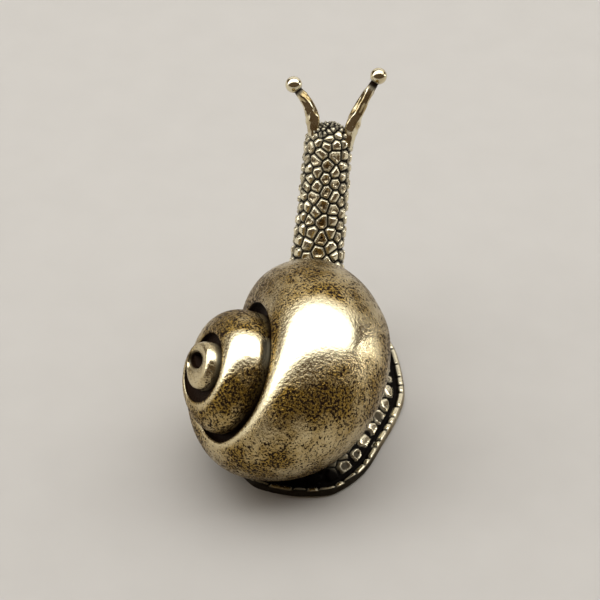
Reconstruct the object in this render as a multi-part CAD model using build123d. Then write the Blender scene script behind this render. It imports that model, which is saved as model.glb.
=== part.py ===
from build123d import *
import os
from math import cos, pi, radians, sin

# A solid brass snail: a body casting with foot, neck and head, a spiral shell seated on its back,
# and two feelers pegged into the head. It crawls towards +Y and its right side is +X.
# The origin is the middle of its flat sole, Z is up, and all lengths are millimetres.

# Shell: where the apex is and which way the spire points. The yaw is counted from +X, the rise from level.
apex_x = -12.3
apex_y = -14.0
apex_z = 15.5
spire_yaw_angle = 204.9
spire_rise_angle = 26.6

# Shell: how it coils. A turn of 0 is its top, 90 its front and -90 its rear, and it grows with the turn.
# The growth is the size of a whorl as a share of the one inside it.
whorl_growth_share = 1.93
spire_doming = 1.735
first_turn_angle = -644.0
mouth_turn_angle = 112.0
section_step_angle = 28.0
sections_per_span = 4
droop_start_angle = 14.0
droop_full_angle = 90.0
mouth_droop = 1.6

# Shell: the section of a whorl at a turn of 0, measured from the spire's axis and down from the apex.
lip_radius = 8.5
lip_drop = 6.55
widest_radius = 14.5
widest_below_lip = 7.3
base_radius = 5.2
base_drop = 23.4
base_slowing_share = 0.76
groove_depth = 1.3
bore_radius = 0.6
pillar_radius = 1.4
pillar_top = 3.0
pillar_length = 16.0

# Shell: the ring at the apex and the pit in it.
ring_outer_radius = 2.8
ring_bead_radius = 0.85
ring_offset = 1.0
ring_top_drop = 0.6
ring_wall_height = 4.25
pit_half_height = 1.1
pit_half_width = 1.5
pit_floor_share = 0.6
pit_depth = 2.4
pit_offset_x = -0.1
pit_offset_y = 0.9

# Foot: a flat sole with a rolled rim, a channel inside the rim and a pad that the shell stands on.
foot_length = 34.8
foot_width = 22.7
station_shares = (0.0, 0.012, 0.042, 0.14, 0.29, 0.42, 0.54, 0.72, 0.82, 0.92, 0.98)
width_shares = (0.0, 0.3, 0.48, 0.71, 0.86, 0.97, 1.0, 0.87, 0.72, 0.5, 0.27)
rim_round = 0.25
rim_width = 0.85
rim_height = 1.15
channel_width = 0.45
channel_height = 0.6
slope_width = 1.3
slope_height = 2.2
pad_inset = 4.2
pad_height = 3.0
foot_scale_length = 2.7
foot_scale_relief = 0.25
foot_scale_edge_share = 0.16

# Body: the back that rises under the shell.
back_x = -0.4
back_y = -1.5
back_half_width = 7.4
back_half_length = 11.0
back_rise = 5.2

# Neck and head: centres, half widths and half depths of the sections, and each one's lean from upright.
neck_places = (
    (-0.3, 3.2, 2.9),
    (-0.6, 7.4, 4.6),
    (-0.9, 10.0, 8.4),
    (-0.8, 11.8, 12.6),
    (-0.55, 15.2, 19.2),
    (-0.37, 18.08, 24.65),
)
neck_half_widths = (5.2, 4.7, 3.75, 3.3, 3.05, 2.9)
neck_half_depths = (1.9, 3.6, 3.7, 3.25, 3.0, 2.9)
neck_lean_angles = (80.0, 52.0, 30.0, 27.0, 28.0, 28.0)
head_radius = 3.0

# Neck: the raised scales, in rows from the first to the last table position.
scale_rows_start = 2.55
neck_scale_rows = 8
neck_scales_round = 9
neck_scale_relief = 0.25
neck_scale_edge_share = 0.18

# Feelers: each stalk is straight from its root to its bend, then curves out to a ball at the last place.
left_root = (-1.9, 17.5, 25.2)
left_curve = ((-2.35, 18.75, 27.8), (-3.1, 19.7, 29.4), (-4.95, 20.8, 31.3))
right_root = (1.95, 17.7, 25.2)
right_curve = ((2.6, 19.0, 27.9), (3.5, 20.2, 29.85), (5.15, 22.0, 32.65))
stalk_radii = (0.76, 0.68, 0.52)
ball_radius = 1.02
feeler_peg_radius = 0.45
feeler_peg_length = 1.6

# Fits: the solder gap between castings, and the peg on the body that locates the shell.
solder_gap = 0.05
shell_peg_x = -1.5
shell_peg_y = -4.0
shell_peg_radius = 2.0
shell_peg_top = 10.0
overrun = 1.0

# How a solid stands at its place: rising from it or hanging below it.
rising = (Align.CENTER, Align.CENTER, Align.MIN)
hanging = (Align.CENTER, Align.CENTER, Align.MAX)


def towards(turn):
    """The unit direction from the spire's axis at a turn, in the shell's own frame."""
    return (cos(radians(turn)), sin(radians(turn)), 0)


def whorl_face(turn):
    """The closed section of the coil at a turn, in the half-plane bounded by the spire's axis."""
    growth = whorl_growth_share ** (turn / 360)
    lip_r = lip_radius * growth
    droop_share = max(0, turn - droop_start_angle) / (droop_full_angle - droop_start_angle)
    lip_h = -lip_drop * growth**spire_doming - mouth_droop * droop_share**2
    widest_r = widest_radius * growth
    widest_h = lip_h - widest_below_lip * growth
    base_r = base_radius * growth
    base_h = -base_drop * min(1, growth) ** base_slowing_share
    groove_h = lip_h - groove_depth * growth
    crown = EllipticalCenterArc(
        (lip_r, widest_h), widest_r - lip_r, lip_h - widest_h, start_angle=0, arc_size=90
    )
    belly = EllipticalCenterArc(
        (base_r, widest_h), widest_r - base_r, widest_h - base_h, start_angle=270, arc_size=90
    )
    bore_low, bore_high = (bore_radius, base_h), (bore_radius, groove_h)
    inside = Polyline((base_r, base_h), bore_low, bore_high, (lip_r, groove_h), (lip_r, lip_h))
    half_plane = Plane((0, 0, 0), x_dir=towards(turn), z_dir=towards(turn - 90))
    return half_plane * make_face([crown, belly, *inside.edges()])


def coil():
    """The whorls: spans of a few sections each, lofted and then joined."""
    count = round((mouth_turn_angle - first_turn_angle) / section_step_angle)
    turns = [mouth_turn_angle - section_step_angle * k for k in range(count, -1, -1)]
    whorls = None
    for first in range(0, count, sections_per_span):
        span = loft([whorl_face(turn) for turn in turns[first : first + sections_per_span + 1]])
        whorls = span if whorls is None else whorls + span
    return whorls


def apex_ring():
    """A button with a rounded edge, which closes the middle of the spire."""
    wall = Cylinder(ring_outer_radius, ring_wall_height, align=hanging)
    button = fillet(wall.edges().sort_by(Axis.Z)[-1], ring_bead_radius)
    return Pos(ring_offset, 0, -ring_top_drop) * button


def pit():
    """The tapered oval hole in the button, off its middle towards the front."""
    mouth = Pos(0, 0, overrun) * Ellipse(pit_half_height, pit_half_width)
    waist = Ellipse(pit_half_height, pit_half_width)
    floor = Pos(0, 0, -pit_depth) * scale(waist, by=pit_floor_share)
    hole = loft([mouth, waist], ruled=True) + loft([waist, floor], ruled=True)
    return Pos(ring_offset + pit_offset_x, pit_offset_y, -ring_top_drop) * hole


def shell_in_own_frame():
    pillar = Cylinder(pillar_radius, pillar_length, align=hanging)
    return coil() + Pos(0, 0, -pillar_top) * pillar + apex_ring() - pit()


def shell_frame():
    """The shell's frame: the apex, X to the shell's top and Z along the spire."""
    yaw, rise = radians(spire_yaw_angle), radians(spire_rise_angle)
    spire = (cos(rise) * cos(yaw), cos(rise) * sin(yaw), sin(rise))
    top = (-sin(rise) * cos(yaw), -sin(rise) * sin(yaw), cos(rise))
    return Plane((apex_x, apex_y, apex_z), x_dir=top, z_dir=spire)


def foot_outline(inset):
    """The smooth outline of the foot, drawn in by an inset."""
    half_length = foot_length / 2 - inset
    half_width = foot_width / 2 - inset
    right = [
        (half_width * width, half_length * (2 * station - 1))
        for station, width in zip(station_shares, width_shares)
    ]
    left = [(-x, y) for x, y in reversed(right[1:])]
    return Spline([*right, (0, half_length), *left], periodic=True)


def foot_ring(inset, height, relief, scale_count):
    """A ring round the foot, sunk by the relief between one scale and the next."""
    crest, valley = foot_outline(inset), foot_outline(inset + relief)
    points = []
    for k in range(scale_count):
        dip = valley @ (k / scale_count)
        points.append((dip.X, dip.Y, height - relief))
        for share in (foot_scale_edge_share, 1 - foot_scale_edge_share):
            top = crest @ ((k + share) / scale_count)
            points.append((top.X, top.Y, height))
    return Wire(Polyline(points, close=True).edges())


def foot():
    """The foot as bands between rings, with a rim and a slope of raised scales."""
    scale_count = round(foot_outline(0).length / foot_scale_length)
    channel_inset = rim_round + rim_width + channel_width
    rings = (
        (rim_round, 0.0, 0.0),
        (0.0, rim_height / 2, foot_scale_relief),
        (rim_round, rim_height, foot_scale_relief),
        (channel_inset, channel_height, 0.0),
        (channel_inset + slope_width, slope_height, foot_scale_relief),
        (pad_inset, pad_height, 0.0),
    )
    return Solid.make_loft([foot_ring(*ring, scale_count) for ring in rings], ruled=True)


def neck_frame(place, lean):
    """The plane of a neck section, which leans forward from level by its angle."""
    return Plane(place, x_dir=(1, 0, 0), z_dir=(0, sin(radians(lean)), cos(radians(lean))))


def neck(grown):
    """The neck, drawn larger all round by the amount grown."""
    sections = [
        neck_frame(place, lean) * Ellipse(half_width + grown, half_depth + grown)
        for place, lean, half_width, half_depth in zip(
            neck_places, neck_lean_angles, neck_half_widths, neck_half_depths
        )
    ]
    return loft(sections)


def between(table, position):
    """The value at a position in a table, where whole positions are its entries."""
    first = min(int(position), len(table) - 2)
    part = position - first
    low, high = table[first], table[first + 1]
    if isinstance(low, tuple):
        return tuple(a + (b - a) * part for a, b in zip(low, high))
    return low + (high - low) * part


def neck_ring(position, quarter_turns, raised):
    """A ring of points round the neck, sunk between the scales, or all round if it isn't raised."""
    tables = (neck_places, neck_half_widths, neck_half_depths, neck_lean_angles)
    place, half_width, half_depth, lean = (between(table, position) for table in tables)
    points = []
    for k in range(neck_scales_round):
        for share in (0.0, neck_scale_edge_share, 1 - neck_scale_edge_share):
            sink = 0 if raised and share else neck_scale_relief
            turn = 2 * pi * (k + share + quarter_turns / 4) / neck_scales_round
            points.append(((half_width - sink) * cos(turn), (half_depth - sink) * sin(turn)))
    return neck_frame(place, lean) * Wire(Polyline(points, close=True).edges())


def scaly_neck():
    """The upper neck: rows of raised scales, each row half a scale round from the last."""
    row_height = (len(neck_places) - 1 - scale_rows_start) / neck_scale_rows
    rings = []
    for row in range(neck_scale_rows):
        foot_of_row = scale_rows_start + row * row_height
        shift = 2 * (row % 2)
        rings.append(neck_ring(foot_of_row, 1, False))
        rings.append(neck_ring(foot_of_row + row_height * neck_scale_edge_share, shift, True))
        rings.append(neck_ring(foot_of_row + row_height * (1 - neck_scale_edge_share), shift, True))
    rings.append(neck_ring(len(neck_places) - 1, 1, False))
    return Solid.make_loft(rings, ruled=True)


def smooth_neck():
    """The lower neck, up to the first row of scales."""
    place, lean = between(neck_places, scale_rows_start), between(neck_lean_angles, scale_rows_start)
    return split(neck(0), neck_frame(place, lean), keep=Keep.BOTTOM)


def head():
    """The round end of the neck."""
    return neck_frame(neck_places[-1], neck_lean_angles[-1]) * Sphere(head_radius)


def back(grown):
    """The rounded back under the shell, drawn larger all round by the amount grown and rooted in the foot."""
    dome = scale(Sphere(1), by=(back_half_width + grown, back_half_length + grown, back_rise + grown))
    below = Box(foot_width, foot_length, back_rise, align=hanging)
    return Pos(back_x, back_y, pad_height) * (dome - Pos(0, 0, slope_height - pad_height) * below)


def stalk_foot(root, bend, grown):
    """The straight foot of a stalk and the peg below it, drawn larger all round by the amount grown."""
    run = Vector(*bend) - Vector(*root)
    frame = Plane(Vector(*root) - run.normalized() * grown, z_dir=run)
    shaft = Cylinder(stalk_radii[0] + grown, run.length + grown, align=rising)
    peg = Cylinder(feeler_peg_radius + grown, feeler_peg_length, align=hanging)
    return frame * (shaft + peg)


def feeler(root, curve):
    """A stalk with its peg and ball."""
    run = Vector(*curve[0]) - Vector(*root)
    end = Vector(*curve[-1]) - Vector(*curve[-2])
    spine = Spline(curve, tangents=(run.normalized(), end.normalized()))
    last = len(stalk_radii) - 1
    sections = [
        Plane(spine @ (k / last), z_dir=spine % (k / last)) * Circle(radius)
        for k, radius in enumerate(stalk_radii)
    ]
    ball = Plane(spine @ 1, z_dir=spine % 1) * Sphere(ball_radius)
    return stalk_foot(root, curve[0], 0) + loft(sections) + ball


def shell_peg(grown):
    peg = Cylinder(shell_peg_radius + grown, shell_peg_top + grown, align=rising)
    return Pos(shell_peg_x, shell_peg_y, 0) * peg


def body_casting():
    body = foot() + back(0) + shell_peg(0) + smooth_neck() + scaly_neck() + head()
    for root, curve in ((left_root, left_curve), (right_root, right_curve)):
        body -= stalk_foot(root, curve[0], solder_gap)
    return body


def shell_casting():
    shell = shell_frame() * shell_in_own_frame()
    below = Box(foot_length * 2, foot_length * 2, foot_length, align=hanging)
    shell -= Pos(0, 0, pad_height + solder_gap) * below
    return shell - back(solder_gap) - neck(solder_gap) - shell_peg(solder_gap)


def main():
    os.makedirs("parts", exist_ok=True)
    parts = {
        "body_casting": body_casting(),
        "shell_casting": shell_casting(),
        "left_feeler": feeler(left_root, left_curve),
        "right_feeler": feeler(right_root, right_curve),
    }
    for node, solid in parts.items():
        export_step(solid, f"parts/{node}.step")


main()
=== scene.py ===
import bisect
import bmesh
import bpy
import random
from math import asin, cos, pi, radians, sin, sqrt
from mathutils import Matrix, Vector, kdtree, noise


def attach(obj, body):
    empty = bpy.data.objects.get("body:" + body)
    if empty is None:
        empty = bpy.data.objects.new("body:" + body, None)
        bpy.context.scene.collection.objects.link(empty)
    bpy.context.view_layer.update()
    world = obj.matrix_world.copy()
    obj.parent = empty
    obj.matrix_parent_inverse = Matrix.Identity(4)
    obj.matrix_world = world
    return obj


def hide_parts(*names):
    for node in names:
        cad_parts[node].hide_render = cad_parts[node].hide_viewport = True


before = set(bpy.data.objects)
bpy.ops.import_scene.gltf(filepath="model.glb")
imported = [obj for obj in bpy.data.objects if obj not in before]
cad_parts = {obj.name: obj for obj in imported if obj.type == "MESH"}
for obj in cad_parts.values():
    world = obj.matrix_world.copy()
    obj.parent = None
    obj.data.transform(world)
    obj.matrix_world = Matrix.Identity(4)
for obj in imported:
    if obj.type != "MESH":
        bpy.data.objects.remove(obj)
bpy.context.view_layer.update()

# An antiqued cast brass snail. Everything is modelled in millimetres and turned to metres when it is
# finished. It crawls towards +Y with its right side at +X, and its flat sole lies on the floor at Z = 0.
millimetre = 0.001


def mix(a, b, share):
    return a + (b - a) * share


def fade(low, high, value):  # 0 at low, 1 at high and smooth between; low may be the greater of the two
    share = min(1.0, max(0.0, (value - low) / (high - low)))
    return share * share * (3.0 - 2.0 * share)


def curvePoint(places, share):  # a smooth curve through the places, share 0 to 1 along it
    spans = len(places) - 1
    at = min(share * spans, spans - 1e-6)
    k = int(at)
    t = at - k
    p1, p2 = places[k], places[k + 1]
    p0 = places[k - 1] if k > 0 else [2 * a - b for a, b in zip(p1, p2)]
    p3 = places[k + 2] if k + 2 <= spans else [2 * b - a for a, b in zip(p1, p2)]
    point = []
    for a, b, c, d in zip(p0, p1, p2, p3):
        square = (2 * a - 5 * b + 4 * c - d) * t * t
        cube = (3 * b - a - 3 * c + d) * t * t * t
        point.append(0.5 * (2 * b + (c - a) * t + square + cube))
    return point


def startRing(bm, segments, placeLayer):  # a disc whose vertices are numbered round it
    verts = bmesh.ops.create_circle(bm, cap_ends=True, segments=segments, radius=1)["verts"]
    for k, vert in enumerate(verts):
        vert[placeLayer] = k
    return verts, list(dict.fromkeys(e for v in verts for e in v.link_edges))


def extrudeRing(bm, edges):  # extrudes a ring of edges and gives its new vertices and edges
    made = bmesh.ops.extrude_edge_only(bm, edges=edges)["geom"]
    verts = [v for v in made if isinstance(v, bmesh.types.BMVert)]
    fresh = set(verts)
    madeEdges = [e for e in made if isinstance(e, bmesh.types.BMEdge)]
    return verts, [e for e in madeEdges if e.verts[0] in fresh and e.verts[1] in fresh]


def finishPiece(bm, name, material, node):
    bmesh.ops.scale(bm, vec=(millimetre,) * 3, verts=bm.verts)
    mesh = bpy.data.meshes.new(name)
    bm.to_mesh(mesh)
    bm.free()
    mesh.polygons.foreach_set("use_smooth", [True] * len(mesh.polygons))
    mesh.materials.append(material)
    piece = bpy.data.objects.new(name, mesh)
    bpy.context.scene.collection.objects.link(piece)
    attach(piece, "root")
    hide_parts(node)
    triangles = sum(len(p.vertices) - 2 for p in mesh.polygons)
    print(name, "has", len(mesh.vertices), "vertices and", triangles, "triangles")


# Colours are written as sRGB hex and turned to linear here.
def linearColour(code):
    shares = [int(code[k : k + 2], 16) / 255 for k in (1, 3, 5)]
    return tuple(c / 12.92 if c <= 0.04045 else ((c + 0.055) / 1.055) ** 2.4 for c in shares) + (1.0,)


# Adds a node with its settings, and gives each input a value or a link.
def addNode(tree, kind, inputs=None, **settings):
    node = tree.nodes.new(kind)
    for key, value in settings.items():
        setattr(node, key, value)
    for key, value in (inputs or {}).items():
        if isinstance(value, bpy.types.NodeSocket):
            tree.links.new(value, node.inputs[key])
        else:
            node.inputs[key].default_value = value
    return node


# Antiqued cast brass: the casting is dipped in a brown-black patina and then rubbed back, so the high places
# show warm yellow metal, and hollows, pits and grooves stay dark and dull. Sizes are in mm. The pin holes
# and the grain of a real cast skin are about 0.1 mm, less than a pixel of the render, so pitSize and
# grainSize are drawn coarser, to show. The clouds of patina have their real size.
brassFinish = {
    "shell": {
        # On the shell, the metal colour is laid where the soft box's highlight falls, a painted highlight,
        # and the worn colour round it.
        "metal": "#F2E6C0",
        "worn": "#9E803A",
        "patina": "#24170D",
        "smooth": 0.17,  # roughness of the bright metal, which on the shell is the painted-highlight band
        "wornRough": 0.2,  # where it is only worn
        "dull": 0.55,  # and under the patina
        "pitSize": 0.28,
        "pitShare": 0.72,  # the pits' noise above this is a pit
        "wornPits": 0.255,  # how much more of the worn sides the pits take
        "pitDepth": 0.03,
        "grainSize": 0.34,
        "grainDepth": 0.18,
        "cloudSize": 5.0,
    },
    "scales": {
        "metal": "#F0E6C6",
        "worn": "#8A6E3C",
        "patina": "#0C0704",
        "smooth": 0.2,
        "wornRough": 0.26,
        "dull": 0.6,
        "pitSize": 0.4,
        "pitShare": 0.62,
        "wornPits": 0.05,
        "pitDepth": 0.015,
        "grainSize": 0.5,
        "grainDepth": 0.006,
        "cloudSize": 3.0,
    },
    "feelers": {
        "metal": "#EFE6C8",
        "worn": "#9A7B2C",
        "patina": "#1C1108",
        "smooth": 0.09,
        "wornRough": 0.28,
        "dull": 0.5,
        "pitSize": 0.6,
        "pitShare": 0.68,
        "wornPits": 0.05,
        "pitDepth": 0.01,
        "grainSize": 0.9,
        "grainDepth": 0.004,
        "cloudSize": 1.6,
    },
}
antiquing = {
    "cloudRange": (0.3, 0.7),  # the clouds' noise from thin to thick
    "cloudWear": (0.45, 1.3),  # what it multiplies the wear by
    "pitEdge": 0.06,  # how far the noise rises from bare metal to full patina
    "pitRelief": 0.8,
    "brightGrain": 0.12,  # the share of the grain left where the metal is bright, which on the shell is the painted-highlight band
    "patinaMetallic": 0.04,
    "patinaSheen": 0.05,
}


def antiquedBrass(name, finish):
    material = bpy.data.materials.new(name)
    material.use_nodes = True
    tree = material.node_tree
    tree.nodes.clear()
    perMetre = 1 / millimetre
    place = addNode(tree, "ShaderNodeTexCoord").outputs["Object"]
    # The first attribute holds the patina in hollows and also painted shade on some places; the second holds
    # wear, and on the shell it is low where a highlight is painted.
    patinaAndShade = addNode(tree, "ShaderNodeAttribute", attribute_name="patinaAndShade").outputs["Fac"]
    worn = addNode(tree, "ShaderNodeAttribute", attribute_name="worn").outputs["Fac"]
    clouds = addNode(
        tree, "ShaderNodeTexNoise",
        {"Vector": place, "Scale": perMetre / finish["cloudSize"], "Detail": 4.0, "Roughness": 0.6},
    ).outputs["Fac"]
    pits = addNode(
        tree, "ShaderNodeTexNoise",
        {"Vector": place, "Scale": perMetre / finish["pitSize"], "Detail": 2.0, "Roughness": 0.7},
    ).outputs["Fac"]
    grain = addNode(
        tree, "ShaderNodeTexNoise",
        {"Vector": place, "Scale": perMetre / finish["grainSize"], "Detail": 3.0, "Roughness": 0.6},
    ).outputs["Fac"]

    thin, thick = antiquing["cloudRange"]
    lessWear, moreWear = antiquing["cloudWear"]
    cloudShare = addNode(
        tree, "ShaderNodeMapRange",
        {"Value": clouds, "From Min": thin, "From Max": thick, "To Min": lessWear, "To Max": moreWear},
    ).outputs["Result"]
    wornShare = addNode(
        tree, "ShaderNodeMath", {0: worn, 1: cloudShare}, operation="MULTIPLY", use_clamp=True
    ).outputs[0]
    morePits = addNode(
        tree, "ShaderNodeMath", {0: wornShare, 1: finish["wornPits"]}, operation="MULTIPLY"
    ).outputs[0]
    pitField = addNode(tree, "ShaderNodeMath", {0: pits, 1: morePits}, operation="ADD").outputs[0]
    pitMask = addNode(tree, "ShaderNodeValToRGB", {"Fac": pitField})
    bareStop, pitStop = pitMask.color_ramp.elements  # black and white
    bareStop.position = finish["pitShare"]
    pitStop.position = finish["pitShare"] + antiquing["pitEdge"]
    pitGrey = pitMask.outputs["Color"]
    dark = addNode(
        tree, "ShaderNodeMath", {0: pitGrey, 1: patinaAndShade}, operation="MAXIMUM", use_clamp=True
    ).outputs[0]

    metal = addNode(
        tree, "ShaderNodeMix",
        {0: wornShare, 6: linearColour(finish["metal"]), 7: linearColour(finish["worn"])},
        data_type="RGBA",
    ).outputs[2]
    coloured = addNode(
        tree, "ShaderNodeMix",
        {0: dark, 6: metal, 7: linearColour(finish["patina"])},
        data_type="RGBA",
    ).outputs[2]
    bareRough = addNode(
        tree, "ShaderNodeMapRange",
        {"Value": wornShare, "To Min": finish["smooth"], "To Max": finish["wornRough"]},
    ).outputs["Result"]
    rough = addNode(
        tree, "ShaderNodeMapRange", {"Value": dark, "To Min": bareRough, "To Max": finish["dull"]}
    ).outputs["Result"]
    metallic = addNode(
        tree, "ShaderNodeMapRange", {"Value": dark, "To Min": 1.0, "To Max": antiquing["patinaMetallic"]}
    ).outputs["Result"]
    sheen = addNode(
        tree, "ShaderNodeMapRange", {"Value": dark, "To Min": 0.5, "To Max": antiquing["patinaSheen"]}
    ).outputs["Result"]

    grainStrength = addNode(
        tree, "ShaderNodeMapRange", {"Value": wornShare, "To Min": antiquing["brightGrain"], "To Max": 1.0}
    ).outputs["Result"]
    grainBump = addNode(
        tree, "ShaderNodeBump",
        {"Height": grain, "Strength": grainStrength, "Distance": finish["grainDepth"] * millimetre},
    ).outputs["Normal"]
    pitHeight = addNode(tree, "ShaderNodeMath", {0: pitGrey, 1: -1.0}, operation="MULTIPLY").outputs[0]
    bump = addNode(
        tree, "ShaderNodeBump",
        {
            "Height": pitHeight,
            "Strength": antiquing["pitRelief"],
            "Distance": finish["pitDepth"] * millimetre,
            "Normal": grainBump,
        },
    ).outputs["Normal"]
    shader = addNode(
        tree, "ShaderNodeBsdfPrincipled",
        {
            "Base Color": coloured,
            "Roughness": rough,
            "Metallic": metallic,
            "Specular IOR Level": sheen,
            "Normal": bump,
        },
    )
    addNode(tree, "ShaderNodeOutputMaterial", {"Surface": shader.outputs["BSDF"]})
    return material


shellBrass = antiquedBrass("shellAntiquedCastBrass", brassFinish["shell"])
scaleBrass = antiquedBrass("scaleAntiquedCastBrass", brassFinish["scales"])
feelerBrass = antiquedBrass("feelerRubbedCastBrass", brassFinish["feelers"])
print("materials made")

# The camera looks down at the snail from behind, at the photograph's angle.
view = {
    "place": (24.287, -192.059, 183.848),
    "look": (-0.10003, 0.74785, -0.65629),
    "lens": 130.85,
    "sensor": 36.0,
    "nearest": 10.0,  # nothing nearer is drawn
}
cameraData = bpy.data.cameras.new("camera")
cameraData.lens = view["lens"]
cameraData.sensor_width = view["sensor"]
cameraData.clip_start = view["nearest"] * millimetre
camera = bpy.data.objects.new("camera", cameraData)
bpy.context.scene.collection.objects.link(camera)
camera.location = Vector(view["place"]) * millimetre
camera.rotation_euler = Vector(view["look"]).to_track_quat("-Z", "Y").to_euler()
bpy.context.scene.camera = camera

# A long soft box overhead, a wide dim card in front of the snail, a smaller one on its left and a narrow
# window low on its right, in a dim brown room.
lamps = {
    "softBox": {
        "size": (2200.0, 385.0),
        "place": (-360.0, -13.0, 415.0),
        "aim": (-360.0, -13.0, 0.0),
        "turn": 13.0,  # degrees round the line of its aim
        "radiance": 2.4,
    },
    "frontCard": {
        "size": (1500.0, 700.0),
        "place": (0.0, 800.0, 370.0),
        "aim": (0.0, 0.0, 10.0),
        "turn": 0.0,
        "radiance": 0.8,
    },
    "leftCard": {
        "size": (320.0, 300.0),
        "place": (-700.0, -60.0, 150.0),
        "aim": (0.0, 0.0, 15.0),
        "turn": 0.0,
        "radiance": 0.9,
    },
    "window": {
        "size": (60.0, 150.0),
        "place": (570.0, 190.0, 60.0),
        "aim": (0.0, 0.0, 15.0),
        "turn": 0.0,
        "radiance": 14.0,
    },
}
roomColour = "#584A3B"
for name, lamp in lamps.items():
    lampData = bpy.data.lights.new(name, "AREA")
    lampData.shape = "RECTANGLE"
    lampData.size, lampData.size_y = (length * millimetre for length in lamp["size"])
    lampData.energy = lamp["radiance"] * pi * lampData.size * lampData.size_y
    lampPiece = bpy.data.objects.new(name, lampData)
    bpy.context.scene.collection.objects.link(lampPiece)
    lampPiece.location = Vector(lamp["place"]) * millimetre
    aim = Vector(lamp["aim"]) - Vector(lamp["place"])
    lampPiece.rotation_euler = aim.to_track_quat("-Z", "Y").to_euler()
    lampPiece.rotation_euler.rotate_axis("Z", radians(lamp["turn"]))
world = bpy.data.worlds.new("room")
bpy.context.scene.world = world
world.use_nodes = True
world.node_tree.nodes["Background"].inputs["Color"].default_value = linearColour(roomColour)

bpy.context.scene.view_settings.view_transform = "Standard"

# A plain pale floor: matt card, faintly clouded.
floorLook = {"size": 3000.0, "colours": ("#BEBBB5", "#C4C1BB"), "cloudSize": 6.0, "rough": 0.85}
bm = bmesh.new()
bmesh.ops.create_grid(bm, x_segments=1, y_segments=1, size=floorLook["size"] / 2 * millimetre)
floorMesh = bpy.data.meshes.new("floor")
bm.to_mesh(floorMesh)
bm.free()
floorCard = bpy.data.materials.new("floorCard")
floorCard.use_nodes = True
floorTree = floorCard.node_tree
floorTree.nodes.clear()
floorPlace = addNode(floorTree, "ShaderNodeTexCoord").outputs["Object"]
floorClouds = addNode(
    floorTree, "ShaderNodeTexNoise",
    {"Vector": floorPlace, "Scale": 1 / (floorLook["cloudSize"] * millimetre), "Detail": 3.0},
).outputs["Fac"]
darkerCard, lighterCard = (linearColour(colour) for colour in floorLook["colours"])
floorShade = addNode(
    floorTree, "ShaderNodeMix", {0: floorClouds, 6: darkerCard, 7: lighterCard}, data_type="RGBA"
).outputs[2]
floorShader = addNode(
    floorTree, "ShaderNodeBsdfPrincipled", {"Base Color": floorShade, "Roughness": floorLook["rough"]}
)
addNode(floorTree, "ShaderNodeOutputMaterial", {"Surface": floorShader.outputs["BSDF"]})
floorMesh.materials.append(floorCard)
floor = bpy.data.objects.new("floor", floorMesh)
bpy.context.scene.collection.objects.link(floor)
print("camera, light and floor made")

# The shell: one section carried round the spire's axis, growing as it goes. Turns are in degrees, and a turn
# of 0 is the shell's top.
shell = {
    "apex": (-12.3, -14.0, 15.5),
    "yaw": 204.9,  # the way the spire points, seen from above
    "rise": 26.6,  # and its angle over the floor
    "growth": 1.93,  # in size, for each turn
    "doming": 1.735,  # the power of that growth with which the lip drops along the spire
    "firstTurn": -644.0,
    "lastTurn": 112.0,
    "turnStep": 2.5,
    "lipRadius": 8.5,
    "lipDrop": 6.55,
    "widestRadius": 14.37,
    "widestBelowLip": 7.3,
    "baseRadius": 5.2,
    "baseDrop": 23.4,
    "baseSlowing": 0.76,
    "grooveDepth": 1.3,
    "lipRound": 0.16,
    "lipShare": 0.3,  # how far round the lip's edge its second point lies
    "lipPatina": 0.2,
    "crownPoints": 26,
    "crownStart": 0.04,
    "bellyPoints": 22,
    "boreRadius": 0.6,
    "grooveFloor": (0.25, 0.5, 0.72, 0.86, 0.95),
    "grooveCorner": (0.02, 0.1),
    "grooveWall": (0.5, 0.8),
    "suturePatina": (0.55, 0.1),  # from this share up the next whorl's groove to this far above its lip
    "droopStart": 14.0,
    "droopFull": 90.0,
    "droop": 1.6,
    "corner": -128.0,  # the turn where the lip is pinched outwards to a corner
    "cornerPush": 1.05,
    "cornerReach": (40.0, 110.0),  # degrees before it and after it
    "innerPush": 0.8,  # the whorl inside the corner swells towards it
    "innerReach": 62.0,
    "seat": 3.05,  # the height where it is cut flat to stand on the body
    "unevenness": 0.05,
    "unevenSize": 4.0,
}


def whorlSizes(turn):
    growth = shell["growth"] ** (turn / 360)
    droop = max(0.0, turn - shell["droopStart"]) / (shell["droopFull"] - shell["droopStart"])
    lipHeight = -shell["lipDrop"] * growth ** shell["doming"] - shell["droop"] * droop**2
    baseHeight = -shell["baseDrop"] * min(1.0, growth) ** shell["baseSlowing"]
    return growth, lipHeight, baseHeight


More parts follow.
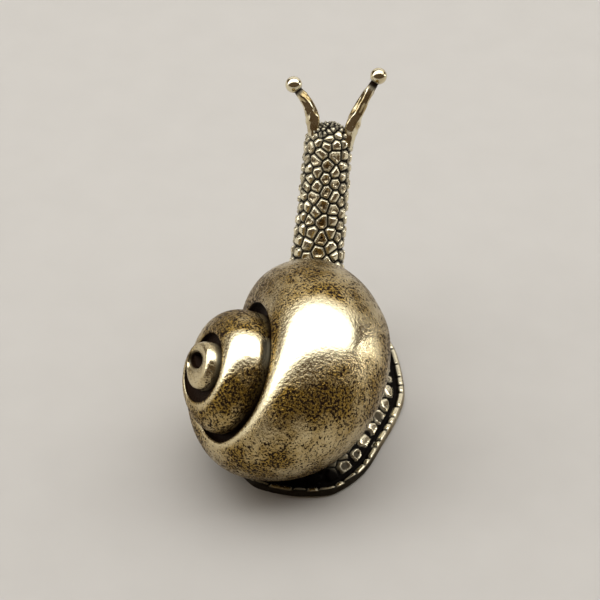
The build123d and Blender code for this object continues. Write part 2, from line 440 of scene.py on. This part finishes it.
def whorlSection(turn):  # (radius from the axis, height along it, patina) of each point of the section
    growth, lipHeight, baseHeight = whorlSizes(turn)
    lip, widest, base = (shell[key] * growth for key in ("lipRadius", "widestRadius", "baseRadius"))
    past = turn - shell["corner"]
    lip += shell["cornerPush"] * max(0.0, 1 - abs(past) / shell["cornerReach"][past > 0])
    widest += shell["innerPush"] * (1 - fade(0, shell["innerReach"], abs(past + 360)))
    widestHeight = lipHeight - shell["widestBelowLip"] * growth
    grooveHeight = lipHeight - shell["grooveDepth"] * growth
    edge = shell["lipRound"] * sqrt(growth)
    second = shell["lipShare"] * edge
    outside = [(lip, lipHeight - edge, 1.0), (lip + second, lipHeight - second, shell["lipPatina"])]
    for k in range(shell["crownPoints"]):
        angle = pi / 2 * (1 - mix(shell["crownStart"], 1, k / shell["crownPoints"]))
        height = widestHeight + (lipHeight - widestHeight) * sin(angle)
        outside.append((lip + (widest - lip) * cos(angle), height, 0.0))
    for k in range(shell["bellyPoints"] + 1):
        angle = pi / 2 * k / shell["bellyPoints"]
        height = widestHeight - (widestHeight - baseHeight) * sin(angle)
        outside.append((base + (widest - base) * cos(angle), height, 0.0))
    if turn + 360 <= shell["lastTurn"]:  # patina lies where the next whorl's groove meets this one
        nextGrowth, nextLip = whorlSizes(turn + 360)[:2]
        nextGroove = nextLip - shell["grooveDepth"] * nextGrowth
        up, above = shell["suturePatina"]
        fullAt, endAt = mix(nextGroove, nextLip, up), nextLip + above
        outside = [
            (radius, height, max(1 - fade(fullAt, endAt, height), patina))
            for radius, height, patina in outside
        ]
    bore = shell["boreRadius"]
    inside = [(bore, baseHeight), (bore, grooveHeight)]
    inside += [(mix(bore, lip, share), grooveHeight) for share in shell["grooveFloor"]]
    cornerIn, cornerUp = shell["grooveCorner"]
    inside.append((lip - cornerIn, grooveHeight + cornerUp * growth))
    inside += [(lip, mix(grooveHeight, lipHeight, share)) for share in shell["grooveWall"]]
    return outside + [(radius, height, 1.0) for radius, height in inside]


yaw, rise = radians(shell["yaw"]), radians(shell["rise"])
spire = Vector((cos(rise) * cos(yaw), cos(rise) * sin(yaw), sin(rise)))
shellTop = Vector((-sin(rise) * cos(yaw), -sin(rise) * sin(yaw), cos(rise)))
shellFront = spire.cross(shellTop)
shellFrame = Matrix((shellTop, shellFront, spire)).transposed().to_4x4()
shellFrame.translation = Vector(shell["apex"])

bm = bmesh.new()
placeLayer = bm.verts.layers.int.new("place")
patinaAndShadeLayer = bm.verts.layers.float.new("patinaAndShade")
wearAndPaintedHighlightLayer = bm.verts.layers.float.new("worn")
polishedLayer = bm.verts.layers.float.new("polished")
verts, edges = startRing(bm, len(whorlSection(0.0)), placeLayer)
steps = round((shell["lastTurn"] - shell["firstTurn"]) / shell["turnStep"])
for step in range(steps + 1):
    if step:
        verts, edges = extrudeRing(bm, edges)
    turn = mix(shell["firstTurn"], shell["lastTurn"], step / steps)
    section = whorlSection(turn)
    for vert in verts:
        radius, height, patina = section[vert[placeLayer]]
        vert.co = shellFrame @ Vector((radius * cos(radians(turn)), radius * sin(radians(turn)), height))
        vert[patinaAndShadeLayer] = patina
bmesh.ops.contextual_create(bm, geom=edges)
for vert in bm.verts:
    wave = noise.noise(vert.co / shell["unevenSize"])
    vert.co += (vert.co - Vector(shell["apex"])).normalized() * wave * shell["unevenness"]

# The ring that closes the middle of the spire, with a pit in it that lies nearer its top.
apexRing = {
    "segments": 48,
    "offset": (1.0, 0.0),
    "pitOffset": (-0.1, 1.05),
    "pitTilt": 34.0,
    "rows": (  # half height, half width, height along the spire, how far the row follows the pit, patina
        (2.72, 2.72, -4.6, 0.0, 1.0),
        (2.74, 2.74, -2.6, 0.0, 1.0),
        (2.8, 2.8, -1.9, 0.0, 0.7),
        (2.8, 2.8, -1.5, 0.0, 0.1),
        (2.74, 2.74, -1.12, 0.02, 0.0),
        (2.58, 2.6, -0.84, 0.06, 0.0),
        (2.34, 2.42, -0.66, 0.14, 0.0),
        (2.06, 2.22, -0.6, 0.3, 0.0),
        (1.76, 1.98, -0.64, 0.5, 0.0),
        (1.32, 1.8, -0.74, 0.76, 0.0),
        (1.02, 1.66, -0.86, 0.95, 0.6),
        (0.92, 1.58, -1.1, 1.0, 1.0),
        (0.84, 1.46, -1.6, 1.0, 1.0),
        (0.72, 1.28, -2.4, 1.0, 1.0),
        (0.5, 0.9, -3.0, 1.0, 1.0),
    ),
}
verts, edges = startRing(bm, apexRing["segments"], placeLayer)
for k, (halfHeight, halfWidth, height, follow, patina) in enumerate(apexRing["rows"]):
    if k:
        verts, edges = extrudeRing(bm, edges)
    x, y = (middle + pit * follow for middle, pit in zip(apexRing["offset"], apexRing["pitOffset"]))
    tilt = Matrix.Rotation(radians(apexRing["pitTilt"] * follow), 2)
    for vert in verts:
        angle = 2 * pi * vert[placeLayer] / apexRing["segments"]
        oval = tilt @ Vector((halfHeight * cos(angle), halfWidth * sin(angle)))
        vert.co = shellFrame @ Vector((x + oval.x, y + oval.y, height))
        vert[patinaAndShadeLayer] = patina
        vert[polishedLayer] = 1.0
bmesh.ops.contextual_create(bm, geom=edges)
cut = bmesh.ops.bisect_plane(
    bm,
    geom=bm.verts[:] + bm.edges[:] + bm.faces[:],
    plane_co=(0, 0, shell["seat"]),
    plane_no=(0, 0, -1),
    clear_outer=True,
)
cutEdges = [e for e in cut["geom_cut"] if isinstance(e, bmesh.types.BMEdge)]
bmesh.ops.holes_fill(bm, edges=cutEdges, sides=0)
bmesh.ops.recalc_face_normals(bm, faces=bm.faces)
bm.normal_update()

# Painted light on the shell: where a whorl's normal faces the overhead soft box's reflection, the metal is
# painted paler, smoother and with fewer pits, a painted highlight, and the side towards the neck is darkened
# with patina colour, a painted shade.
shellPaintedLight = {
    "towards": (0.03, -0.35),  # the normal's x and y in the middle of the painted-highlight band
    "spread": (0.82, 0.29),
    "slant": 0.16,
    "edge": (0.7, 1.2),  # shares of the spread between which the painted highlight's pale metal turns to worn metal
    "ringShare": 0.5,  # how much less the apex ring is worn
    # painted shade on the shell's side towards the neck
    "neckPaintedShade": 0.3,
    "neckSide": (0.25, 0.75),  # the normal's y from none to all of it
    "neckSlope": (0.8, 0.3),  # and the normal's z
}
for vert in bm.verts:
    aside, rearward = (part - middle for part, middle in zip(vert.normal, shellPaintedLight["towards"]))
    rearward -= shellPaintedLight["slant"] * aside
    away = sqrt((aside / shellPaintedLight["spread"][0]) ** 2 + (rearward / shellPaintedLight["spread"][1]) ** 2)
    # painted highlight: worn is 0 in the band that faces the soft box's reflection, and rises to 1 away from
    # it and on the underside
    worn = fade(*shellPaintedLight["edge"], away) if vert.normal.z > 0 else 1.0
    vert[wearAndPaintedHighlightLayer] = worn * (1 - shellPaintedLight["ringShare"] * vert[polishedLayer])
    # painted shade: patina colour laid on the side of the shell that faces the neck
    towardsNeck = fade(*shellPaintedLight["neckSide"], vert.normal.y) * fade(*shellPaintedLight["neckSlope"], vert.normal.z)
    vert[patinaAndShadeLayer] = max(vert[patinaAndShadeLayer], shellPaintedLight["neckPaintedShade"] * towardsNeck)
finishPiece(bm, "coiledShell", shellBrass, "shell_casting")
print("shell made")

# The body: foot, back, neck and head are joined and remeshed, then carved with scales.
foot = {
    "length": 34.8,
    "width": 22.62,
    # shares of the length from the rear end to the front, and of the width there
    "stations": (0.0, 0.012, 0.042, 0.14, 0.29, 0.42, 0.54, 0.72, 0.82, 0.92, 0.98),
    "widths": (0.0, 0.3, 0.48, 0.71, 0.86, 0.97, 1.0, 0.87, 0.72, 0.5, 0.27),
    "levels": (  # inset, height: the sole's edge, the rolled rim, the channel, the slope and the pad
        (0.45, 0.0), (0.16, 0.08), (0.02, 0.32), (0.0, 0.58), (0.05, 0.84), (0.2, 1.06), (0.44, 1.15),
        (0.7, 1.08), (0.9, 0.88), (1.06, 0.62), (1.24, 0.6), (1.42, 0.92), (1.8, 1.36), (2.3, 1.74),
        (2.85, 2.2), (3.5, 2.65), (4.2, 2.98),
    ),
    "outlinePoints": 220,
}
neck = {
    "places": (
        (-0.3, 3.2, 2.9), (-0.6, 7.4, 4.6), (-0.9, 10.0, 8.4), (-0.8, 11.8, 12.6), (-0.55, 15.2, 19.2),
        (-0.37, 18.08, 24.65),
    ),
    "halfWidths": (5.2, 4.7, 3.75, 3.3, 3.05, 2.9),
    "halfDepths": (1.9, 3.6, 3.7, 3.25, 3.0, 2.9),
    "leans": (80.0, 52.0, 30.0, 27.0, 28.0, 28.0),
    "segments": 56,
    "rings": 60,
    "length": 32.0,
    "headRadius": 3.0,
}
back = {"place": (-0.4, -1.5, 3.0), "halfSizes": (7.4, 11.0, 5.2), "lowest": 1.0}
skin = {  # of the joined body
    "ballSubdivisions": 4,
    "voxel": 0.146,
    "smoothings": 3,
    "soleBelow": 0.2,  # mm, heights below which it isn't smoothed
    "flatBelow": 0.06,  # and below which it is made flat
}


def footOutline(inset):  # the foot's outline drawn in by an inset
    halfLength = foot["length"] / 2 - inset
    halfWidth = foot["width"] / 2 - inset
    right = [(halfWidth * w, halfLength * (2 * s - 1)) for s, w in zip(foot["stations"], foot["widths"])]
    left = [(-x, y) for x, y in reversed(right[1:])]
    loop = right + [(0.0, halfLength)] + left
    wrapped = [loop[-1], *loop, loop[0], loop[1]]
    points = []
    for k in range(foot["outlinePoints"]):
        at = k / foot["outlinePoints"] * len(loop)
        points.append(curvePoint(wrapped, (at + 1) / (len(wrapped) - 1)))
    return points


def neckPoint(share, angle):  # on the neck's surface: angle 0 is its right side, and -90 degrees its back
    middle = Vector(curvePoint(neck["places"], share))
    halfWidth, halfDepth, lean = (
        curvePoint([(value,) for value in neck[key]], share)[0]
        for key in ("halfWidths", "halfDepths", "leans")
    )
    forward = Vector((0, cos(radians(lean)), -sin(radians(lean))))
    return middle + Vector((halfWidth * cos(angle), 0, 0)) + forward * halfDepth * sin(angle)


bm = bmesh.new()
placeLayer = bm.verts.layers.int.new("place")
verts, edges = startRing(bm, foot["outlinePoints"], placeLayer)
for k, (inset, height) in enumerate(foot["levels"]):
    if k:
        verts, edges = extrudeRing(bm, edges)
    outline = footOutline(inset)
    for vert in verts:
        vert.co = (*outline[vert[placeLayer]], height)
bmesh.ops.contextual_create(bm, geom=edges)
verts, edges = startRing(bm, neck["segments"], placeLayer)
for k in range(neck["rings"] + 1):
    if k:
        verts, edges = extrudeRing(bm, edges)
    for vert in verts:
        vert.co = neckPoint(k / neck["rings"], 2 * pi * vert[placeLayer] / neck["segments"])
bmesh.ops.contextual_create(bm, geom=edges)
headVerts = bmesh.ops.create_icosphere(
    bm, subdivisions=skin["ballSubdivisions"], radius=neck["headRadius"]
)["verts"]
bmesh.ops.translate(bm, vec=neck["places"][-1], verts=headVerts)
backVerts = bmesh.ops.create_icosphere(bm, subdivisions=skin["ballSubdivisions"], radius=1)["verts"]
bmesh.ops.scale(bm, vec=back["halfSizes"], verts=backVerts)
bmesh.ops.translate(bm, vec=back["place"], verts=backVerts)
for vert in backVerts:
    vert.co.z = max(vert.co.z, back["lowest"])  # its lower half stays inside the foot
bmesh.ops.recalc_face_normals(bm, faces=bm.faces)
roughMesh = bpy.data.meshes.new("bodyRough")
bm.to_mesh(roughMesh)
bm.free()
rough = bpy.data.objects.new("bodyRough", roughMesh)
bpy.context.scene.collection.objects.link(rough)
remesh = rough.modifiers.new("remesh", "REMESH")
remesh.mode = "VOXEL"
remesh.voxel_size = skin["voxel"] * 1
bpy.context.view_layer.update()
smoothMesh = bpy.data.meshes.new_from_object(rough.evaluated_get(bpy.context.evaluated_depsgraph_get()))
bpy.data.objects.remove(rough)
bm = bmesh.new()
bm.from_mesh(smoothMesh)
bpy.data.meshes.remove(smoothMesh)
patinaAndShadeLayer = bm.verts.layers.float.new("patinaAndShade")
wearAndPaintedHighlightLayer = bm.verts.layers.float.new("worn")
upper = [v for v in bm.verts if v.co.z > skin["soleBelow"]]
for again in range(skin["smoothings"]):
    bmesh.ops.smooth_vert(bm, verts=upper, factor=0.5, use_axis_x=True, use_axis_y=True, use_axis_z=True)
bm.normal_update()
print("body remeshed to", len(bm.verts), "vertices")

# The foot's rim is a bead round the outline, cut by notches. Heights, insets and lengths are in mm.
rim = {
    "soleBelow": 0.12,  # below this nothing is carved
    "top": 1.7,
    "inset": 1.45,
    "outlineParts": 8,
    "beadLengths": (1.1, 3.0),
    "broadShare": 0.35,  # of the beads
    "broadCrest": 0.46,  # half width of the bright crest
    "crests": (0.18, 0.34),
    "crestInset": 0.4,
    "crestShifts": (-0.06, 0.1),
    "crestEdge": 0.14,
    "notchDepths": (0.12, 0.34),
    "notchReach": 0.42,
    "notchPatina": (0.08, 0.26),  # from the notch's middle
    "notchStart": (0.05, 0.4),  # insets between which the notches start, and end
    "notchEnd": (0.9, 1.1),
    "side": (0.12, 0.3),  # the rim's outer side ends between these insets
    "sidePatinaAndShade": (0.5, 0.96),  # in front, and at the rear, where the higher value is painted shade under the shell
    "sideWorn": 0.8,
    "rear": (-4.0, -13.0),  # y from the front's finish to the rear's darker painted shade
    "rearBeads": (-12.5, -14.5),  # y between which the bright crests narrow, as painted shade under the shell
    "rearCrests": (0.0, 0.7),  # to these shares, in turn from bead to bead
}

# Where each vertex is: how far in from the foot's outline, and how far round it.
outline = footOutline(0.0)
parts = rim["outlineParts"]
outlineTree = kdtree.KDTree(len(outline) * parts)
outlineLength = 0.0
outlineSteps = []
for (x, y), (nextX, nextY) in zip(outline, outline[1:] + outline[:1]):
    run = sqrt((nextX - x) ** 2 + (nextY - y) ** 2)
    for part in range(parts):
        share = part / parts
        outlineTree.insert((mix(x, nextX, share), mix(y, nextY, share), 0.0), len(outlineSteps))
        outlineSteps.append(outlineLength + run * part / parts)
    outlineLength += run
outlineTree.balance()
dice = random.Random(7)
notches = []
at = 0.0
while at < outlineLength - rim["beadLengths"][0]:
    notches.append(at)
    at += dice.uniform(*rim["beadLengths"])
carved = []
rimVerts = []
for vert in bm.verts:
    if vert.co.z < rim["soleBelow"]:
        continue
    if vert.co.z < rim["top"]:
        index, inset = outlineTree.find((vert.co.x, vert.co.y, 0.0))[1:]
        if inset < rim["inset"]:
            rimVerts.append((vert, inset, outlineSteps[index]))
            continue
    carved.append(vert)

# Scales: the brow scales, the plates down the back of the neck and the round scales inside the foot's
# channel are set first, then seeds are strewn over the rest of the surface no nearer than the spacing, and
# eased apart. Lengths are in mm.
layout = {
    "neckSpacing": 1.3,
    "footSpacing": 1.45,
    "footBelow": 4.5,
    "headSpacing": 0.5,
    "headFrom": 1.7,  # above the head's middle, where the small bumps begin
    "tightness": (0.84, 1.0),  # shares of the spacing
    "apart": {"brow": 0.3, "plate": 0.9, "foot": 0.9},  # the least distance between these kinds
    "keepOff": {"brow": 1.15, "plate": 1.3, "foot": 1.5, "plain": 0.0},  # and from each to a plain scale
    "cell": 1.8,  # of the grid that finds near seeds, more than any distance above
    "browScales": (
        (-0.08, 16.34, 27.08), (1.14, 17.2, 27.09), (1.04, 16.06, 26.36), (-0.36, 15.67, 26.43),
    ),
    "plates": 11,
    "plateFrom": 0.93,  # share of the neck's length
    "plateSpacing": 1.62,
    "plateSlant": 8.0,
    "plateSway": 5.0,
    "footRowInset": 1.88,
    "footRowHeight": 1.5,
    "footRowSpacings": (1.5, 2.3),
}
headEnd = Vector(neck["places"][-1])
headLean = radians(neck["leans"][-1])
headAxis = Vector((0, sin(headLean), cos(headLean)))
cells = {}
seeds = []
kinds = []


def spacingAt(place):
    if (place - headEnd).dot(headAxis) > layout["headFrom"]:
        return layout["headSpacing"]
    return layout["footSpacing"] if place.z < layout["footBelow"] else layout["neckSpacing"]


def addSeed(place, kind, spacing):
    key = tuple(int(c // layout["cell"]) for c in place)
    near = [
        entry
        for dx in (-1, 0, 1) for dy in (-1, 0, 1) for dz in (-1, 0, 1)
        for entry in cells.get((key[0] + dx, key[1] + dy, key[2] + dz), ())
    ]
    plain = kind == "plain"
    if all((seed - place).length > max(spacing, keepOff if plain else 0.0) for seed, keepOff in near):
        seeds.append(place.copy())
        kinds.append(kind)
        cells.setdefault(key, []).append((seeds[-1], layout["keepOff"][kind]))


for place in layout["browScales"]:
    addSeed(Vector(place), "brow", layout["apart"]["brow"])
for k in range(layout["plates"]):
    share = layout["plateFrom"] - k * layout["plateSpacing"] / neck["length"]
    slant = radians(layout["plateSlant"] + dice.uniform(-layout["plateSway"], layout["plateSway"]) - 90)
    addSeed(neckPoint(share, slant), "plate", layout["apart"]["plate"])
rowLine = [Vector((x, y, layout["footRowHeight"])) for x, y in footOutline(layout["footRowInset"])]
toNext = 0.0
for here, there in zip(rowLine, rowLine[1:]):
    toNext -= (there - here).length
    if toNext <= 0:
        addSeed(there, "foot", layout["apart"]["foot"])
        toNext = dice.uniform(*layout["footRowSpacings"])
order = list(carved)
dice.shuffle(order)
for vert in order:
    addSeed(vert.co, "plain", spacingAt(vert.co) * dice.uniform(*layout["tightness"]))


def seedTree(places):
    tree = kdtree.KDTree(len(places))
    for k, place in enumerate(places):
        tree.insert(place, k)
    tree.balance()
    return tree


tree = seedTree(seeds)
sums = [[Vector(), 0] for seed in seeds]
for vert in carved:
    k = tree.find(vert.co)[1]
    sums[k][0] += vert.co
    sums[k][1] += 1
for k, (total, count) in enumerate(sums):  # each plain seed moves to the middle of its own scale
    if count and kinds[k] == "plain":
        seeds[k] = total / count
tree = seedTree(seeds)

# The scales' carving. A pair of shares is where an edge begins and ends.
scaleForm = {
    "grooveDepth": 0.3,
    "grooveHalfWidth": 0.155,
    "footGrooveHalfWidth": 0.17,
    "footToNeck": (4.0, 6.0),  # mm, heights between which the foot's carving turns into the neck's
    "bumpGroove": 1.5,  # the grooves between the head's bumps are wider by this
    "sideGroove": 0.7,  # and those on the neck's sides by this share
    "sides": (0.55, 0.95),  # the normal's x from the neck's back to its sides
    "edge": (0.3, 0.12),  # shares of the groove's half width, and of the spacing beyond it
    "patinaEdge": (0.5, 0.07),
    "shallow": 1.4,  # small scales have shallower grooves
    "tilt": 0.04,
    "crown": 0.15,
    "crownReach": 0.5,
    "browCrown": 0.35,
    "cupDepth": 0.18,
    "cupEdge": (0.2, 0.42),
    "cuppedShare": 0.35,  # of the plain scales
    "cupPatina": 0.85,
    "cupWorn": 0.5,
    "dimpleRadius": 0.26,
    "dimpleFloor": 0.4,
    "dimpleShift": 0.22,
    "dimpleDepth": 0.12,
    "dimplePatina": 0.8,
    "islands": (0.66, 1.12),  # radii of the round scales inside the channel
    "islandEdge": (0.14, 0.04),  # inside the radius and outside it
    "islandWobble": 0.5,
    "ringedShare": 0.55,  # of the round scales
    "ringEdge": (0.36, 0.68),
    "darkBumps": 0.3,  # share of the head's bumps that keep most patina
    "bumpPatina": (0.7, 0.1),
}
footPaintedShade = {  # painted shade: the foot is darkened with patina colour at its rear end and under the shell, where the shell's shadow falls
    "from": -7.0,  # y, as in the two pairs below
    "rearEnd": (-12.4, -14.2),
    "underShell": (-6.0, -9.0),
    "underShellInset": (2.2, 2.8),
}
styles = []
for seed, kind in zip(seeds, kinds):
    style = dice.random()
    reach = scaleForm["dimpleShift"]
    dimpleAt = seed + Vector([dice.uniform(-reach, reach) for axis in "xyz"])
    styles.append((kind, style, dice.uniform(-1, 1), dimpleAt, dice.uniform(*scaleForm["islands"])))
print("scales laid out:", len(seeds))


def edgeFade(edge, half, size, border):  # 0 in a groove and 1 on the scale beside it
    return fade(edge[0] * half, half + edge[1] * size, border)


moves = []
for vert in carved:
    found = tree.find_n(vert.co, 7)
    centre, cell, own = found[0]
    border = min((away * away - own * own) / (2 * (place - centre).length) for place, k, away in found[1:])
    kind, style, tilt, dimpleAt, island = styles[cell]
    size = spacingAt(vert.co)
    low = 1 - fade(*scaleForm["footToNeck"], vert.co.z)
    small = kind == "plain" and size == layout["headSpacing"]
    half = mix(scaleForm["grooveHalfWidth"], scaleForm["footGrooveHalfWidth"], low)
    half *= scaleForm["bumpGroove"] if small else 1.0
    half *= 1 + scaleForm["sideGroove"] * (1 - low) * fade(*scaleForm["sides"], abs(vert.normal.x))
    top = edgeFade(scaleForm["edge"], half, size, border)
    groove = 1 - edgeFade(scaleForm["patinaEdge"], half, size, border)
    if kind == "foot":
        wobbled = own + scaleForm["islandWobble"] * noise.noise(vert.co)
        within, beyond = scaleForm["islandEdge"]
        apart = fade(island - within, island + beyond, wobbled)
        top, groove = min(top, 1 - apart), max(groove, apart)
    cup = dimple = 0.0
    if kind == "foot" and style < scaleForm["ringedShare"]:
        ringFrom, ringTo = (island * share for share in scaleForm["ringEdge"])
        cup = 1 - fade(ringFrom, ringTo, wobbled)
    elif kind == "plate" or (kind == "plain" and style < scaleForm["cuppedShare"] and not small):
        cupFrom, cupTo = (size * share for share in scaleForm["cupEdge"])
        cup = fade(cupFrom, cupTo, border)
        if not low:
            radius = scaleForm["dimpleRadius"]
            dimple = 1 - fade(scaleForm["dimpleFloor"] * radius, radius, (vert.co - dimpleAt).length)
    dome = 1 - (1 - min(1.0, border / (scaleForm["crownReach"] * size))) ** 2
    crown = scaleForm["crown"] * (scaleForm["browCrown"] if kind == "brow" else 1.0)
    lift = scaleForm["grooveDepth"] * (top - 1) * min(1.0, scaleForm["shallow"] * size)
    lift += scaleForm["tilt"] * tilt * top
    lift += crown * (dome - 0.5) * (1 - cup) * top
    lift -= scaleForm["cupDepth"] * cup + scaleForm["dimpleDepth"] * dimple
    moves.append((vert, vert.normal * lift))
    keptPatinaAndShade = 0.0
    if small:
        keptPatinaAndShade = scaleForm["bumpPatina"][style >= scaleForm["darkBumps"]]
    elif low and vert.co.y < footPaintedShade["from"]:
        # painted shade under the shell and at the foot's rear end
        inset = outlineTree.find((vert.co.x, vert.co.y, 0.0))[2]
        underShell = fade(*footPaintedShade["underShell"], vert.co.y) * fade(*footPaintedShade["underShellInset"], inset)
        keptPatinaAndShade = low * max(fade(*footPaintedShade["rearEnd"], vert.co.y), underShell)
    cupPatina = scaleForm["cupPatina"] * low * cup
    vert[patinaAndShadeLayer] = max(groove, cupPatina, scaleForm["dimplePatina"] * dimple, keptPatinaAndShade)
    vert[wearAndPaintedHighlightLayer] = cup * (1.0 if kind == "plate" else scaleForm["cupWorn"])
beadLooks = []  # for each bead, half the width of its bright crest, the crest's shift and the notch's depth
for notch in notches:
    broad = dice.random() < rim["broadShare"]
    halfCrest = rim["broadCrest"] if broad else dice.uniform(*rim["crests"])
    beadLooks.append((halfCrest, dice.uniform(*rim["crestShifts"]), dice.uniform(*rim["notchDepths"])))
for vert, inset, step in rimVerts:
    k = bisect.bisect(notches, step) - 1
    after = notches[k + 1] if k + 1 < len(notches) else outlineLength
    gap = min(step - notches[k], after - step)
    halfCrest, shift, depth = beadLooks[k]
    # painted shade: at the rear, under the shell, the bright crests narrow
    halfCrest *= mix(1.0, rim["rearCrests"][k % 2], fade(*rim["rearBeads"], vert.co.y))
    bead = sqrt(min(1.0, gap / rim["notchReach"]))
    beadPart = fade(*rim["notchStart"], inset) * (1 - fade(*rim["notchEnd"], inset))
    moves.append((vert, vert.normal * (-depth * (1 - bead) * beadPart)))
    side = 1 - fade(*rim["side"], inset)
    # painted shade: the rim's side is darker towards the rear, under the shell
    sidePatinaAndShade = mix(*rim["sidePatinaAndShade"], fade(*rim["rear"], vert.co.y))
    offCrest = fade(halfCrest, halfCrest + rim["crestEdge"], abs(inset - rim["crestInset"] - shift))
    notchPatina = (1 - fade(*rim["notchPatina"], gap)) * (1 - side)
    vert[patinaAndShadeLayer] = max(mix(offCrest, sidePatinaAndShade, side), notchPatina)
    vert[wearAndPaintedHighlightLayer] = rim["sideWorn"] * side
for vert, move in moves:
    vert.co += move
for vert in bm.verts:
    if vert.co.z < skin["flatBelow"]:
        vert.co.z = 0.0
soleFaces = [f for f in bm.faces if all(v.co.z == 0.0 for v in f.verts)]
bmesh.ops.dissolve_faces(bm, faces=soleFaces, use_verts=True)
finishPiece(bm, "scalyBody", scaleBrass, "body_casting")
print("body made")

# The feelers: a ring carried along each stalk, drawn in under the ball and closed over it.
feelers = {
    "left": {
        "name": "leftFeelerStalk",
        "node": "left_feeler",
        "path": ((-1.9, 17.5, 25.2), (-2.35, 18.75, 27.8), (-3.1, 19.7, 29.4), (-4.95, 20.8, 31.3)),
        "knobs": (  # share of the stalk's length, radius
            (0.0, 0.74), (0.2, 0.76), (0.36, 0.86), (0.5, 0.78), (0.62, 0.76), (0.75, 0.68), (0.86, 0.62),
        ),
        "phase": 1.3,
    },
    "right": {
        "name": "rightFeelerStalk",
        "node": "right_feeler",
        "path": ((1.95, 17.7, 25.2), (2.6, 19.0, 27.9), (3.5, 20.2, 29.85), (5.15, 22.0, 32.65)),
        "knobs": (
            (0.0, 0.74), (0.15, 0.72), (0.3, 0.84), (0.46, 0.78), (0.58, 0.74), (0.72, 0.66), (0.86, 0.6),
        ),
        "phase": 4.1,
    },
    "ballRadius": 1.012,
    "throat": 0.47,
    "segments": 28,
    "stalkRings": 64,
    "ballRings": 22,
    "pathSteps": 200,
    "stalkEnd": 0.9,  # share of the path, as the ball takes the rest
    "facets": 5,
    "facetDepth": 0.06,
    "facetTwist": 2.2,  # radians that the facets sway to and fro along the stalk
    "facetSway": 7.0,
    "lumpDepth": 0.1,
    "lumpsPerMm": 1.5,
    "nubs": 4,
    "nubHeight": 0.1,
    "nubFrom": (0.84, 0.92),
    "plainFrom": (0.85, 1.0),  # facets and lumps fade out between these shares of the stalk
    "throatPatina": (0.91, 0.99),
    "ballPatina": 0.16,
    "worn": (0.1, 0.6),  # everywhere, and more in patches
    "wornPatch": 0.25,
    "patchesPerMm": 0.9,
}


def stalkRadius(knobs, share):
    for (shareA, radiusA), (shareB, radiusB) in zip(knobs, knobs[1:]):
        if share <= shareB:
            return mix(radiusA, radiusB, fade(shareA, shareB, share))
    return mix(knobs[-1][1], feelers["throat"], fade(knobs[-1][0], 1.0, share))


def makeFeeler(look):
    bm = bmesh.new()
    placeLayer = bm.verts.layers.int.new("place")
    patinaAndShadeLayer = bm.verts.layers.float.new("patinaAndShade")
    wearAndPaintedHighlightLayer = bm.verts.layers.float.new("worn")
    verts, edges = startRing(bm, feelers["segments"], placeLayer)
    centre = Vector(look["path"][-1])
    pathSteps = feelers["pathSteps"]
    places = [Vector(curvePoint(look["path"], k / pathSteps)) for k in range(pathSteps + 1)]
    rows = []  # place, the way ahead, radius, patina, share of the stalk
    for k in range(feelers["stalkRings"] + 1):
        share = k / feelers["stalkRings"]
        at = share * pathSteps * feelers["stalkEnd"]
        step = int(at)
        place = places[step].lerp(places[step + 1], at - step)
        ahead = (places[step + 3] - places[max(0, step - 3)]).normalized()
        patina = fade(*feelers["throatPatina"], share)
        rows.append((place, ahead, stalkRadius(look["knobs"], share), patina, share))
    ahead = (centre - places[int(pathSteps * feelers["stalkEnd"])]).normalized()
    ball = feelers["ballRadius"]
    throatAngle = pi - asin(feelers["throat"] / ball)
    for k in range(feelers["ballRings"]):
        share = k / feelers["ballRings"]
        angle = throatAngle * (1 - share)
        patina = 1 - fade(0.0, feelers["ballPatina"], share)
        rows.append((centre + ahead * ball * cos(angle), ahead, ball * sin(angle), patina, None))
    phase = look["phase"]
    across = Vector((1, 0, 0))
    for k, (place, ahead, radius, patina, share) in enumerate(rows):
        if k:
            verts, edges = extrudeRing(bm, edges)
        across = (across - ahead * across.dot(ahead)).normalized()
        upwards = ahead.cross(across)
        for vert in verts:
            angle = 2 * pi * vert[placeLayer] / feelers["segments"]
            spread = radius
            if share is not None:
                twist = feelers["facetTwist"] * sin(feelers["facetSway"] * share)
                facet = feelers["facetDepth"] * cos(feelers["facets"] * angle + phase + twist)
                lumpAt = place * feelers["lumpsPerMm"] + Vector((cos(angle), sin(angle), phase))
                lump = feelers["lumpDepth"] * noise.noise(lumpAt)
                nub = feelers["nubHeight"] * fade(*feelers["nubFrom"], share)
                nub *= max(0.0, cos(feelers["nubs"] * angle + phase)) ** 3
                spread += (facet + lump) * (1 - fade(*feelers["plainFrom"], share)) + nub
            vert.co = place + (across * cos(angle) + upwards * sin(angle)) * spread
            vert[patinaAndShadeLayer] = patina
            if share is not None:
                patch = noise.noise(vert.co * feelers["patchesPerMm"] + Vector((phase, 0, 0)))
                least, more = feelers["worn"]
                vert[wearAndPaintedHighlightLayer] = least + more * fade(-feelers["wornPatch"], feelers["wornPatch"], patch)
    tip = bmesh.ops.contextual_create(bm, geom=edges)["faces"]
    bmesh.ops.poke(bm, faces=tip)
    bmesh.ops.recalc_face_normals(bm, faces=bm.faces)
    finishPiece(bm, look["name"], feelerBrass, look["node"])


makeFeeler(feelers["left"])
makeFeeler(feelers["right"])
print("feelers made")
